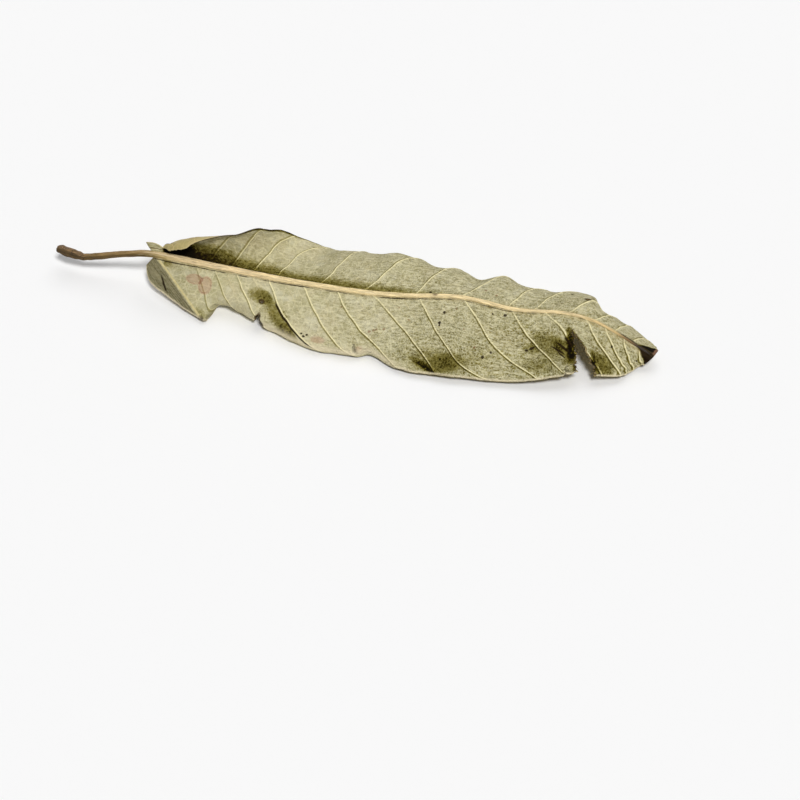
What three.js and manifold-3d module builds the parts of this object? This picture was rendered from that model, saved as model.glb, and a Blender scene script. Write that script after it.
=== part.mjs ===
// A dried mango leaf lying on a flat surface with its pale underside up. Millimetres, +Z up.
// The leaf stalk points along -X and the tip along +X. The near half of the blade lies along -Y.
import * as THREE from "three";
import Module from "manifold-3d";

// ---- driving dimensions -------------------------------------------------------------------

const BLADE_THICKNESS = 0.5;

// Centre line of the midrib from the blade's base to its tip, with the blade's base at the origin.
const MIDRIB = [
  [0, 0, 0], [20, -0.4, -0.7], [45, -0.8, -1.5], [70, -0.6, -1.7], [85, 0.5, -1.2],
  [104, 2, 0.6], [122, 2, -0.8], [138, 2.2, 0.7], [148, 1.8, -0.2], [156, 1, -3.1],
  [162.5, 0.3, -6.2], [166, -0.1, -7.8], [167.6, -0.4, -8.6], [168.6, -0.6, -9.4],
];

// Centre line of the leaf stalk, from its cut end to the blade's base.
const STALK = [
  [-36, 1.9, -5.1], [-30, 0.5, -5.4], [-25.5, 0, -5.5], [-20, 0, -4.2], [-10, 0, -1.4],
];

// Radius of the stalk and midrib: distance along the midrib (negative on the stalk), radius.
const RIB_RADIUS = [
  [-37, 1.2], [-34.5, 1.4], [-29.5, 1.35], [-26, 1.1], [-22, 1.15], [-12, 1.05], [0, 1.15],
  [60, 0.95], [110, 0.75], [150, 0.5], [172, 0.28],
];
const RIB_RISE = 0.25; // how far the midrib's centre stands above the blade's middle
const RIB_SIDES = 10;

// Ribs of the blade, at distances along the midrib: half width, how far the rib sweeps toward the
// tip, and its slope at four even steps from the midrib to the margin. Angles are in degrees.
const NEAR_RIBS = [
  [0, 6.8, -58, -26, -30, -32, -35],
  [2.2, 10.6, -33, -26, -32, -36, -38],
  [5, 12.1, -17, -26, -34, -38, -42],
  [9, 14.2, -7, -26, -36, -42, -46],
  [14, 16.3, -3, -26, -37, -44, -48],
  [21, 18.6, 0, -26, -38, -46, -52],
  [25, 19.5, 0, -24, -34, -40, -45],
  [32, 21.5, 0, -22, -32, -38, -42],
  [42, 23.5, 0, -18, -29, -35, -43],
  [55, 24.5, 0, -15, -26, -32, -40],
  [70, 25, 0, -13, -25, -31, -39],
  [73, 24.9, 0, -13, -25, -31, -39],
  [76.5, 23.6, 0, -13, -25, -31, -38],
  [82, 25.2, 0, -13, -25, -31, -37],
  [90, 27.2, 0, -14, -26, -32, -36],
  [105, 28, 0, -15, -27, -32, -36],
  [122, 25.8, 0, -15, -27, -33, -38],
  [138, 23, 0, -15, -27, -36, -45],
  [150, 19.6, 0, -18, -28, -36, -42],
  [160, 14.8, 3, -18, -28, -36, -42],
  [164, 12, 4, -20, -30, -38, -44],
  [167, 8.4, 4, -40, -54, -54, -50],
  [169.5, 5.4, 2, -60, -72, -70, -65],
  [174, 2.5, 0, -65, -75, -70, -65],
];
const FAR_RIBS = [
  [0, 5.6, -80, 35, 45, 55, 65],
  [1.2, 5, -70, 45, 62, 80, 95],
  [2.2, 4.6, -55, 40, 80, 110, 140],
  [4, 9.8, -35, 25, 90, 155, 225],
  [10, 14.6, -15, 25, 80, 150, 235],
  [14, 15.9, -6, 8, 66, 134, 215],
  [18, 15.9, 0, -10, 53, 113, 180],
  [22, 17.2, 3, -24, 32, 94, 156],
  [26, 20.1, 5, -35, 13, 75, 142],
  [30, 22.2, 5, -31, 4, 56, 118],
  [34, 23.2, 5, -28, -5, 38, 95],
  [40, 24.5, 4, -24, -5, 9, 32],
  [45, 25.3, 2, -19, -4, 3, 0],
  [50, 26, 1, -14, -4, -2, -22],
  [60, 27, 0, 0, 10, -12, -65],
  [75, 27.5, 0, 11, 22, -24, -85],
  [80, 28.2, 0, 14, 25, -24, -88],
  [86, 28, 0, 11, 18, -32, -95],
  [95, 28.5, 0, 5, 4, -50, -105],
  [103, 28.7, 0, 2, -3, -52, -98],
  [107.5, 28.4, 0, -3, -11, -46, -86],
  [115, 28.8, 0, 10, 1, -54, -106],
  [122, 28, 0, 6, -3, -57, -105],
  [132, 25.8, 0, 3, -9, -54, -98],
  [138, 24.3, 0, 6, -6, -48, -90],
  [146, 20.8, 0, 9, 1, -38, -78],
  [150, 16.2, 0, 0, -14, -44, -70],
  [153, 14.8, 0, 1, -13, -40, -60],
  [156, 14.6, 0, 2, -12, -36, -56],
  [162, 12.2, 3, -2, -10, -26, -46],
  [166.5, 8.8, 8, -2, -8, -20, -32],
  [170, 6, 6, 0, -5, -12, -20],
  [175, 3.2, 2, 5, 0, -8, -15],
];

// Strip of the near margin that is rolled under: distance along the midrib, width, degrees.
const MARGIN_ROLL = [
  [0, 1, 0], [21, 1, 0], [23.5, 12, -140], [30, 14, -165], [36, 12.5, -165], [44, 10, -160],
  [52, 7, -135], [60, 5, -115], [68, 5, -120], [76, 5.5, -110], [84, 3, -60], [92, 1, 0],
];

// The near corner of the base is bent down along a crease that runs from the midrib's start to
// the margin: where it meets the margin, and how far the corner turns about it.
const CREASE_ALONG = 21;
const CREASE_OUT = 18.6;
const CREASE_TURN = 38;
const CREASE_SOFTNESS = 1.2;

// Tears in the near margin. Each starts at a share "apex" of the half width and reaches the
// margin "lean" further toward the tip than its root on the midrib. Its two lips have dropped by
// "sink", in full from the share "sunk" on, and drawn back as the rows of "lips" say: share, then
// how far on the stalk's side and on the tip's side. "reach" is how far from the tear that
// spreads, and "worn" the share of the half width lost at the corner on the stalk's side.
const TEARS = [
  {
    root: 39.5, lean: 0, apex: 0.5, reach: 5, sink: [0, 0.6], sunk: 0.7, worn: 0,
    lips: [[0.5, 0, 0], [0.62, 1.5, 1.8], [1, 1.5, 1.8]],
  },
  {
    root: 138.5, lean: 18, apex: 0.22, reach: 10, sink: [4.2, -0.7], sunk: 0.55, worn: 0.07,
    lips: [
      [0.22, 0, 0], [0.33, 0.5, 0.4], [0.45, 1.2, 1], [0.57, 2.1, 1.6],
      [0.7, 3.5, 2.1], [0.82, 4.9, 1.9], [0.92, 5, 1.2], [1, 4.5, 0.5],
    ],
  },
];

const STATIONS = 66; // ribs along the blade
const ROWS = 10; // steps from the midrib to a margin

// How the finished leaf is turned to lie on its lowest points, in degrees about X and Y.
const REST_ROLL = -3.3;
const REST_PITCH = -0.35;

// ---- curves ------------------------------------------------------------------------------

const radians = THREE.MathUtils.degToRad;
const clamp = THREE.MathUtils.clamp;

// Column k of a table at x: a cubic through its rows that never overshoots them.
function column(table, k, x) {
  const last = table.length - 2;
  const gap = (i) => table[i + 1][0] - table[i][0];
  const rise = (i) => (table[i + 1][k] - table[i][k]) / gap(i);
  const tangent = (i) => {
    if (i === 0) return rise(0);
    if (i > last) return rise(last);
    const [a, b] = [rise(i - 1), rise(i)];
    return a * b > 0 ? (2 * a * b) / (a + b) : 0;
  };
  let i = 0;
  while (i < last && x >= table[i + 1][0]) i += 1;
  const h = gap(i);
  const t = clamp((x - table[i][0]) / h, 0, 1);
  return THREE.MathUtils.lerp(table[i][k], table[i + 1][k], t * t * (3 - 2 * t))
    + h * t * (1 - t) * ((1 - t) * tangent(i) - t * tangent(i + 1));
}

const points = (rows) => rows.map((row) => new THREE.Vector3(...row));
const midrib = new THREE.CatmullRomCurve3(points(MIDRIB), false, "catmullrom", 0.5);
const axis = new THREE.CatmullRomCurve3(points([...STALK, ...MIDRIB]), false, "catmullrom", 0.5);
midrib.arcLengthDivisions = 800;
axis.arcLengthDivisions = 1200;
const BLADE_LENGTH = midrib.getLength();
const STALK_LENGTH = axis.getLength() - BLADE_LENGTH;

const ease = (x) => {
  const t = clamp(x, 0, 1);
  return t * t * (3 - 2 * t);
};

// ---- blade -------------------------------------------------------------------------------

// Slope of a rib, in degrees, at share t of its width: a cubic through its four slopes.
function ribSlope([a, b, c, d], t) {
  return a * (1 - 3 * t) * (1 - 1.5 * t) * (1 - t)
    + b * 9 * t * (1 - 1.5 * t) * (1 - t)
    - c * 4.5 * t * (1 - 3 * t) * (1 - t)
    + d * t * (1 - 3 * t) * (1 - 1.5 * t);
}

// A point of the blade's middle surface before the corner is bent down: side is 1 on the far
// half and -1 on the near half, s the distance along the midrib, v the share of the half width.
function ribPoint(side, s, v) {
  const table = side > 0 ? FAR_RIBS : NEAR_RIBS;
  const width = column(table, 1, s);
  const sweep = radians(column(table, 2, s));
  const slopes = [3, 4, 5, 6].map((k) => column(table, k, s));
  const roll = side > 0 ? [1, 0] : [1, 2].map((k) => column(MARGIN_ROLL, k, s));
  const at = clamp(s / BLADE_LENGTH, 0, 1);
  const along = midrib.getTangentAt(at);
  const out = new THREE.Vector3(-along.y, along.x, 0).multiplyScalar(side).normalize();
  const up = new THREE.Vector3().crossVectors(along, out).multiplyScalar(side);
  out.multiplyScalar(Math.cos(sweep)).addScaledVector(along, Math.sin(sweep));
  const steps = 40;
  const step = (v * width) / steps;
  let across = 0;
  let rise = 0;
  for (let k = 0; k < steps; k += 1) {
    const t = (v * (k + 0.5)) / steps;
    const rolled = roll[1] * clamp((t * width - width + roll[0]) / roll[0], 0, 1);
    const angle = radians(ribSlope(slopes, t) + rolled);
    across += Math.cos(angle) * step;
    rise += Math.sin(angle) * step;
  }
  return midrib.getPointAt(at).addScaledVector(out, across).addScaledVector(up, rise);
}

const creaseStart = ribPoint(-1, 0.5, 0);
const creaseEnd = ribPoint(-1, CREASE_ALONG, 1);
const creaseDirection = creaseEnd.clone().sub(creaseStart).normalize();

// How far a place on the flat near half lies behind the base crease.
function behindCrease(s, v) {
  const sweep = radians(column(NEAR_RIBS, 2, s));
  const out = v * column(NEAR_RIBS, 1, s);
  const [along, across] = [s + out * Math.sin(sweep), out * Math.cos(sweep)];
  return (across * CREASE_ALONG - along * CREASE_OUT) / Math.hypot(CREASE_ALONG, CREASE_OUT);
}

function bladePoint(side, s, v) {
  const p = ribPoint(side, s, v);
  if (side > 0) return p;
  const turn = radians(CREASE_TURN) * ease(behindCrease(s, v) / CREASE_SOFTNESS);
  return p.sub(creaseStart).applyAxisAngle(creaseDirection, turn).add(creaseStart);
}

// A grid point of the near half, moved by the tears. lip is -1 or 1 on the two lips of a tear.
function tornPoint(s, v, lip) {
  let shifted = s;
  for (const tear of TEARS) {
    const spread = tear.lean * v;
    const before = clamp((s - tear.root + 40) / 40, 0, 1);
    const after = clamp((BLADE_LENGTH - s) / (BLADE_LENGTH - tear.root), 0, 1);
    shifted += spread * (s < tear.root ? ease(before) : after);
  }
  let [sink, moved, share] = [0, shifted, v];
  for (const tear of TEARS) {
    const later = (lip || s - tear.root) > 0;
    const away = shifted - tear.root - tear.lean * v;
    const near = Math.exp(-((away / tear.reach) ** 2));
    const sunk = ease((v - tear.apex) / (tear.sunk - tear.apex)) * (1 - v ** 3);
    moved += near * (later ? column(tear.lips, 2, v) : -column(tear.lips, 1, v));
    sink += near * sunk * tear.sink[later ? 1 : 0];
    if (!later) share *= 1 - tear.worn * near ** 4;
  }
  const p = bladePoint(-1, moved, share);
  p.z -= sink;
  return p;
}

// Distances along the midrib of the ribs. The first ones are spaced so that the base crease runs
// through corners of the grid, and one rib falls on the root of each tear.
function stationList() {
  const list = [0];
  for (let row = 1; row <= ROWS; row += 1) {
    let [low, high] = [0, CREASE_ALONG];
    while (high - low > 1e-4) {
      const middle = (low + high) / 2;
      if (behindCrease(middle, row / ROWS) > 0) low = middle;
      else high = middle;
    }
    list.push(high);
  }
  const stops = [CREASE_ALONG, ...TEARS.map((tear) => tear.root), BLADE_LENGTH];
  const spacing = (BLADE_LENGTH - CREASE_ALONG) / (STATIONS - ROWS);
  for (let k = 1; k < stops.length; k += 1) {
    const count = Math.round((stops[k] - stops[k - 1]) / (k === 1 ? spacing / 2 : spacing));
    for (let i = 1; i <= count; i += 1) {
      list.push(THREE.MathUtils.lerp(stops[k - 1], stops[k], i / count));
    }
  }
  return list;
}

// The blade's middle surface: vertices, and triangles that face up where the blade lies level.
function middleSurface() {
  const vertices = [];
  const triangles = [];
  const stations = stationList();
  const add = (p) => vertices.push(p) - 1;
  const isTorn = (s, j) => TEARS.some((t) => Math.abs(s - t.root) < 1e-6 && j / ROWS > t.apex);
  const spine = stations.map((s) => add(bladePoint(1, s, 0)));
  const far = stations.map((s, i) => [spine[i]]);
  const nearBefore = stations.map((s, i) => [spine[i]]);
  const nearAfter = stations.map((s, i) => [spine[i]]);
  stations.forEach((s, i) => {
    for (let j = 1; j <= ROWS; j += 1) {
      const v = j / ROWS;
      const torn = isTorn(s, j);
      far[i].push(add(bladePoint(1, s, v)));
      nearBefore[i].push(add(tornPoint(s, v, torn ? -1 : 0)));
      nearAfter[i].push(torn ? add(tornPoint(s, v, 1)) : nearBefore[i][j]);
    }
  });
  for (let i = 1; i < stations.length; i += 1) {
    for (let j = 1; j <= ROWS; j += 1) {
      const [a, b, c, d] = [far[i - 1][j - 1], far[i][j - 1], far[i][j], far[i - 1][j]];
      triangles.push([a, b, c], [a, c, d]);
      const [e, f] = [nearAfter[i - 1][j - 1], nearBefore[i][j - 1]];
      const [g, h] = [nearBefore[i][j], nearAfter[i - 1][j]];
      triangles.push([e, g, f], [e, h, g]);
    }
  }
  return { vertices, triangles };
}

function vertexNormals({ vertices, triangles }) {
  const normals = vertices.map(() => new THREE.Vector3());
  for (const [a, b, c] of triangles) {
    const ab = vertices[b].clone().sub(vertices[a]);
    const face = ab.cross(vertices[c].clone().sub(vertices[a]));
    [a, b, c].forEach((k) => normals[k].add(face));
  }
  return normals.map((n) => n.normalize());
}

// Edges that only one triangle has, in that triangle's direction.
function openEdges(triangles) {
  const edges = new Map();
  for (const [a, b, c] of triangles) {
    for (const [p, q] of [[a, b], [b, c], [c, a]]) {
      if (!edges.delete(`${q},${p}`)) edges.set(`${p},${q}`, [p, q]);
    }
  }
  return [...edges.values()];
}

// A closed sheet of the given thickness about a middle surface.
function thicken(surface, thickness) {
  const { vertices, triangles } = surface;
  const normals = vertexNormals(surface);
  const count = vertices.length;
  const shell = [thickness / 2, -thickness / 2].flatMap((offset) =>
    vertices.map((p, k) => p.clone().addScaledVector(normals[k], offset)));
  const faces = [];
  for (const [a, b, c] of triangles) {
    faces.push([a, b, c], [a + count, c + count, b + count]);
  }
  for (const [a, b] of openEdges(triangles)) {
    faces.push([b, a, a + count], [b, a + count, b + count]);
  }
  return { vertices: shell, triangles: faces };
}

// ---- stalk and midrib --------------------------------------------------------------------

// One tapering rod: the leaf stalk, and the midrib that it turns into on the underside.
function ribRod() {
  const vertices = [];
  const triangles = [];
  const count = 80;
  const first = -STALK_LENGTH;
  const last = BLADE_LENGTH - 2;
  for (let i = 0; i <= count; i += 1) {
    const s = THREE.MathUtils.lerp(first, last, i / count);
    const at = (s + STALK_LENGTH) / (STALK_LENGTH + BLADE_LENGTH);
    const along = axis.getTangentAt(at);
    const out = new THREE.Vector3(-along.y, along.x, 0).normalize();
    const up = new THREE.Vector3().crossVectors(along, out);
    const centre = axis.getPointAt(at).addScaledVector(up, RIB_RISE * ease(s / 10 + 1));
    const radius = column(RIB_RADIUS, 1, s);
    for (let k = 0; k < RIB_SIDES; k += 1) {
      const angle = (2 * Math.PI * (k + 0.5)) / RIB_SIDES;
      vertices.push(centre.clone().addScaledVector(out, radius * Math.cos(angle))
        .addScaledVector(up, radius * Math.sin(angle)));
    }
  }
  const at = (i, k) => i * RIB_SIDES + (k % RIB_SIDES);
  for (let i = 0; i < count; i += 1) {
    for (let k = 0; k < RIB_SIDES; k += 1) {
      triangles.push([at(i, k), at(i + 1, k + 1), at(i + 1, k)]);
      triangles.push([at(i, k), at(i, k + 1), at(i + 1, k + 1)]);
    }
  }
  for (let k = 1; k < RIB_SIDES - 1; k += 1) {
    triangles.push([at(0, 0), at(0, k + 1), at(0, k)]);
    triangles.push([at(count, 0), at(count, k), at(count, k + 1)]);
  }
  return { vertices, triangles };
}

// ---- one solid ---------------------------------------------------------------------------

const wasm = await Module();
wasm.setup();

function solid({ vertices, triangles }) {
  const made = new wasm.Manifold(new wasm.Mesh({
    numProp: 3,
    vertProperties: new Float32Array(vertices.flatMap((p) => p.toArray())),
    triVerts: new Uint32Array(triangles.flat()),
  }));
  if (made.volume() < 0) throw new Error("a surface is inside out");
  return made;
}

function geometry(made) {
  const { numProp, vertProperties, triVerts } = made.getMesh();
  const data = new THREE.InterleavedBuffer(vertProperties, numProp);
  const made3 = new THREE.BufferGeometry();
  made3.setAttribute("position", new THREE.InterleavedBufferAttribute(data, 3, 0));
  made3.setIndex([...triVerts]);
  return made3.toNonIndexed();
}

// Lay the leaf on its lowest points, over the middle of its own bounding box.
function lay(shape) {
  shape.rotateX(radians(REST_ROLL)).rotateY(radians(REST_PITCH));
  shape.computeBoundingBox();
  const middle = shape.boundingBox.getCenter(new THREE.Vector3());
  return shape.translate(-middle.x, -middle.y, -shape.boundingBox.min.z);
}

const blade = solid(thicken(middleSurface(), BLADE_THICKNESS));
const leaf = new THREE.Mesh(
  lay(geometry(blade.add(solid(ribRod())))),
  new THREE.MeshStandardMaterial({ color: 0xaaa273, roughness: 0.8, metalness: 0 }),
);
leaf.name = "leaf";

const group = new THREE.Group();
group.add(leaf);
export default group;
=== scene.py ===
"""A dried mango leaf lying with its pale underside up: the surfaces, materials and light that
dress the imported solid. Lengths are millimetres and angles degrees until a mesh is made."""

import math

import bpy
import numpy as np
from mathutils import Matrix, Vector


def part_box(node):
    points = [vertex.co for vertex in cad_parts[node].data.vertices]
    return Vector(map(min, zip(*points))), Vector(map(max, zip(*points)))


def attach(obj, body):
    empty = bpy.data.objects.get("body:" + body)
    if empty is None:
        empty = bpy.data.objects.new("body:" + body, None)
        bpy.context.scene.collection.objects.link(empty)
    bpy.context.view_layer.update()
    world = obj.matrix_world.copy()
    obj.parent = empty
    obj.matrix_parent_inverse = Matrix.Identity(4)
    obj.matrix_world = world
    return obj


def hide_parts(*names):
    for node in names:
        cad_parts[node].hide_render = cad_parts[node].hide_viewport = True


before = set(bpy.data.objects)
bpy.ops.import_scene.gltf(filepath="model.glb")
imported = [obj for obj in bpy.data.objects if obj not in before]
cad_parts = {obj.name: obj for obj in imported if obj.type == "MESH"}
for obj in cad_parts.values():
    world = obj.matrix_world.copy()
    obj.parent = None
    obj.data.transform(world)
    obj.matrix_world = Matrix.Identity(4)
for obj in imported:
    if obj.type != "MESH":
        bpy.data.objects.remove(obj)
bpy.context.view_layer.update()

# ---- driving dimensions, in millimetres and degrees, the same as the solid's ----

MIDRIB = [
    (0, 0, 0), (20, -0.4, -0.7), (45, -0.8, -1.5), (70, -0.6, -1.7), (85, 0.5, -1.2),
    (104, 2, 0.6), (122, 2, -0.8), (138, 2.2, 0.7), (148, 1.8, -0.2), (156, 1, -3.1),
    (162.5, 0.3, -6.2), (166, -0.1, -7.8), (167.6, -0.4, -8.6), (168.6, -0.6, -9.4),
]
STALK = [
    (-36, 1.9, -5.1), (-30, 0.5, -5.4), (-25.5, 0, -5.5), (-20, 0, -4.2), (-10, 0, -1.4),
]
RIB_RADIUS = [
    (-37, 1.2), (-34.5, 1.4), (-29.5, 1.35), (-26, 1.1), (-22, 1.15), (-12, 1.05),
    (0, 1.15), (60, 0.95), (110, 0.75), (150, 0.5), (172, 0.28),
]
RIB_RISE = 0.25

# Ribs of the blade: distance along the midrib, half width, sweep toward the tip, and the slope
# at four even steps from the midrib to the margin.
NEAR_RIBS = [
    (0, 6.8, -58, -26, -30, -32, -35), (2.2, 10.6, -33, -26, -32, -36, -38),
    (5, 12.1, -17, -26, -34, -38, -42), (9, 14.2, -7, -26, -36, -42, -46),
    (14, 16.3, -3, -26, -37, -44, -48), (21, 18.6, 0, -26, -38, -46, -52),
    (25, 19.5, 0, -24, -34, -40, -45), (32, 21.5, 0, -22, -32, -38, -42),
    (42, 23.5, 0, -18, -29, -35, -43), (55, 24.5, 0, -15, -26, -32, -40),
    (70, 25, 0, -13, -25, -31, -39), (73, 24.9, 0, -13, -25, -31, -39),
    (76.5, 23.6, 0, -13, -25, -31, -38), (82, 25.2, 0, -13, -25, -31, -37),
    (90, 27.2, 0, -14, -26, -32, -36), (105, 28, 0, -15, -27, -32, -36),
    (122, 25.8, 0, -15, -27, -33, -38), (138, 23, 0, -15, -27, -36, -45),
    (150, 19.6, 0, -18, -28, -36, -42), (160, 14.8, 3, -18, -28, -36, -42),
    (164, 12, 4, -20, -30, -38, -44), (167, 8.4, 4, -40, -54, -54, -50),
    (169.5, 5.4, 2, -60, -72, -70, -65), (174, 2.5, 0, -65, -75, -70, -65),
]
FAR_RIBS = [
    (0, 5.6, -80, 35, 45, 55, 65), (1.2, 5, -70, 45, 62, 80, 95),
    (2.2, 4.6, -55, 40, 80, 110, 140), (4, 9.8, -35, 25, 90, 155, 225),
    (10, 14.6, -15, 25, 80, 150, 235), (14, 15.9, -6, 8, 66, 134, 215),
    (18, 15.9, 0, -10, 53, 113, 180), (22, 17.2, 3, -24, 32, 94, 156),
    (26, 20.1, 5, -35, 13, 75, 142), (30, 22.2, 5, -31, 4, 56, 118),
    (34, 23.2, 5, -28, -5, 38, 95), (40, 24.5, 4, -24, -5, 9, 32),
    (45, 25.3, 2, -19, -4, 3, 0), (50, 26, 1, -14, -4, -2, -22),
    (60, 27, 0, 0, 10, -12, -65), (75, 27.5, 0, 11, 22, -24, -85),
    (80, 28.2, 0, 14, 25, -24, -88), (86, 28, 0, 11, 18, -32, -95),
    (95, 28.5, 0, 5, 4, -50, -105), (103, 28.7, 0, 2, -3, -52, -98),
    (107.5, 28.4, 0, -3, -11, -46, -86), (115, 28.8, 0, 10, 1, -54, -106),
    (122, 28, 0, 6, -3, -57, -105), (132, 25.8, 0, 3, -9, -54, -98),
    (138, 24.3, 0, 6, -6, -48, -90), (146, 20.8, 0, 9, 1, -38, -78),
    (150, 16.2, 0, 0, -14, -44, -70), (153, 14.8, 0, 1, -13, -40, -60),
    (156, 14.6, 0, 2, -12, -36, -56), (162, 12.2, 3, -2, -10, -26, -46),
    (166.5, 8.8, 8, -2, -8, -20, -32), (170, 6, 6, 0, -5, -12, -20),
    (175, 3.2, 2, 5, 0, -8, -15),
]
# The near half is side -1 and the far half side 1, here and in every table like this one.
RIBS = {-1: NEAR_RIBS, 1: FAR_RIBS}
# Strip of the near margin that is rolled under: distance along the midrib, width, angle.
NEAR_ROLL = [
    (0, 1, 0), (21, 1, 0), (23.5, 12, -140), (30, 14, -165), (36, 12.5, -165),
    (44, 10, -160), (52, 7, -135), (60, 5, -115), (68, 5, -120), (76, 5.5, -110),
    (84, 3, -60), (92, 1, 0),
]
MARGIN_ROLL = {-1: NEAR_ROLL, 1: [(0, 1, 0), (1, 1, 0)]}
CREASE_ALONG, CREASE_OUT, CREASE_TURN, CREASE_SOFTNESS = 21, 18.6, 38, 1.2
# Tears of the near margin. Rows of "lips": share, and how far each side has drawn back.
NOTCH = dict(
    root=39.5, lean=0, apex=0.5, reach=5, sink=(0, 0.6), sunk=0.7, worn=0,
    lips=[(0.5, 0, 0), (0.62, 1.5, 1.8), (1, 1.5, 1.8)],
)
TEAR = dict(
    root=138.5, lean=18, apex=0.22, reach=10, sink=(4.2, -0.7), sunk=0.55, worn=0.07,
    lips=[(0.22, 0, 0), (0.33, 0.5, 0.4), (0.45, 1.2, 1), (0.57, 2.1, 1.6),
          (0.7, 3.5, 2.1), (0.82, 4.9, 1.9), (0.92, 5, 1.2), (1, 4.5, 0.5)],
)
REST_ROLL, REST_PITCH = -3.3, -0.35

# ---- curves ----


def ease(x):
    t = np.clip(x, 0, 1)
    return t * t * (3 - 2 * t)


def column(table, k, x):
    """Column k of a table at x: a cubic through its rows that never overshoots them."""
    rows = np.array(table, float)
    xs, ys = rows[:, 0], rows[:, k]
    gap = np.diff(xs)
    rise = np.diff(ys) / gap
    a, b = rise[:-1], rise[1:]
    inner = np.where(a * b > 0, 2 * a * b / np.where(a + b == 0, 1, a + b), 0)
    tangent = np.concatenate([rise[:1], inner, rise[-1:]])
    i = np.clip(np.searchsorted(xs, x, side="right") - 1, 0, len(gap) - 1)
    h = gap[i]
    t = np.clip((x - xs[i]) / h, 0, 1)
    straight = ys[i] + (ys[i + 1] - ys[i]) * t * t * (3 - 2 * t)
    return straight + h * t * (1 - t) * ((1 - t) * tangent[i] - t * tangent[i + 1])


def unit(v):
    return v / np.linalg.norm(v, axis=-1, keepdims=True)


class Path:
    """A smooth curve through points, measured along its length."""

    SAMPLES = 300  # in every span between two points

    def __init__(self, points):
        p = np.array(points, float)
        p = np.vstack([2 * p[0] - p[1], p, 2 * p[-1] - p[-2]])
        t = np.linspace(0, len(points) - 1, self.SAMPLES * (len(points) - 1) + 1)
        i = np.minimum(t.astype(int), len(points) - 2)
        w = (t - i)[:, None]
        p0, p1, p2, p3 = p[i], p[i + 1], p[i + 2], p[i + 3]
        v0, v1 = (p2 - p0) / 2, (p3 - p1) / 2
        self.xyz = ((2 * p1 - 2 * p2 + v0 + v1) * w**3
                    + (-3 * p1 + 3 * p2 - 2 * v0 - v1) * w**2 + v0 * w + p1)
        step = np.linalg.norm(np.diff(self.xyz, axis=0), axis=1)
        self.at_length = np.concatenate([[0], np.cumsum(step)])
        self.length = self.at_length[-1]

    def point(self, s):
        s = np.clip(s, 0, self.length)
        return np.stack([np.interp(s, self.at_length, self.xyz[:, k]) for k in range(3)], -1)

    def tangent(self, s):
        s = np.clip(s, 0, self.length)
        return unit(self.point(s + 0.05) - self.point(s - 0.05))


midrib = Path(MIDRIB)
axis = Path(STALK + MIDRIB)
LENGTH = midrib.length
STALK_LENGTH = axis.length - LENGTH


def sideways(along):
    return unit(np.stack([-along[..., 1], along[..., 0], 0 * along[..., 0]], -1))


# ---- the blade's middle surface ----


def half_width(side, s):
    return column(RIBS[side], 1, s)


def rib_slope(a, b, c, d, t):
    return (a * (1 - 3 * t) * (1 - 1.5 * t) * (1 - t) + b * 9 * t * (1 - 1.5 * t) * (1 - t)
            - c * 4.5 * t * (1 - 3 * t) * (1 - t) + d * t * (1 - 3 * t) * (1 - 1.5 * t))


def rib_point(side, s, v):
    """Points at distances s along the midrib and shares v of the half width, before folding."""
    s, v = np.broadcast_arrays(np.asarray(s, float), np.asarray(v, float))
    width = half_width(side, s)
    sweep = np.radians(column(RIBS[side], 2, s))[..., None]
    slopes = [column(RIBS[side], k, s) for k in (3, 4, 5, 6)]
    roll, turn = (column(MARGIN_ROLL[side], k, s) for k in (1, 2))
    along = midrib.tangent(s)
    out = sideways(along) * side
    up = np.cross(along, out) * side
    out = out * np.cos(sweep) + along * np.sin(sweep)
    steps = 48
    across, rise = np.zeros_like(s), np.zeros_like(s)
    for k in range(steps):
        t = v * (k + 0.5) / steps
        rolled = turn * np.clip((t * width - width + roll) / roll, 0, 1)
        angle = np.radians(rib_slope(*slopes, t) + rolled)
        across += np.cos(angle) * v * width / steps
        rise += np.sin(angle) * v * width / steps
    return midrib.point(s) + out * across[..., None] + up * rise[..., None]


crease_start = rib_point(-1, 0.5, 0.0)
crease_end = rib_point(-1, CREASE_ALONG, 1.0)
crease_axis = unit(crease_end - crease_start)


def behind_crease(s, v):
    """How far a place on the flat near half lies behind the base crease, in millimetres."""
    sweep = np.radians(column(NEAR_RIBS, 2, s))
    out = v * half_width(-1, s)
    along, across = s + out * np.sin(sweep), out * np.cos(sweep)
    cut = np.hypot(CREASE_ALONG, CREASE_OUT)
    return (across * CREASE_ALONG - along * CREASE_OUT) / cut


def turn_about(p, origin, direction, angle):
    d = p - origin
    c, s = np.cos(angle)[..., None], np.sin(angle)[..., None]
    along = (d @ direction)[..., None] * direction
    return origin + d * c + np.cross(direction, d) * s + along * (1 - c)


def blade_point(side, s, v):
    p = rib_point(side, s, v)
    if side > 0:
        return p
    turn = np.radians(CREASE_TURN) * ease(behind_crease(s, v) / CREASE_SOFTNESS)
    return turn_about(p, crease_start, crease_axis, turn)


def rest(p):
    """Turn points of the leaf to the way it lies."""
    a, b = np.radians(REST_ROLL), np.radians(REST_PITCH)
    x, y, z = p[..., 0], p[..., 1], p[..., 2]
    y, z = y * np.cos(a) - z * np.sin(a), y * np.sin(a) + z * np.cos(a)
    x, z = x * np.cos(b) + z * np.sin(b), -x * np.sin(b) + z * np.cos(b)
    return np.stack([x, y, z], -1)


# ---- small helpers ----


def noise(x, y, seed):
    """Smooth noise from -1 to 1 that changes over about one unit."""
    table = np.random.default_rng(seed).uniform(-1, 1, (128, 128))
    ix, iy = np.floor(x).astype(int), np.floor(y).astype(int)
    fx, fy = ease(x - ix), ease(y - iy)
    a, b = table[ix % 128, iy % 128], table[(ix + 1) % 128, iy % 128]
    c, d = table[ix % 128, (iy + 1) % 128], table[(ix + 1) % 128, (iy + 1) % 128]
    return (a * (1 - fx) + b * fx) * (1 - fy) + (c * (1 - fx) + d * fx) * fy


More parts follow.
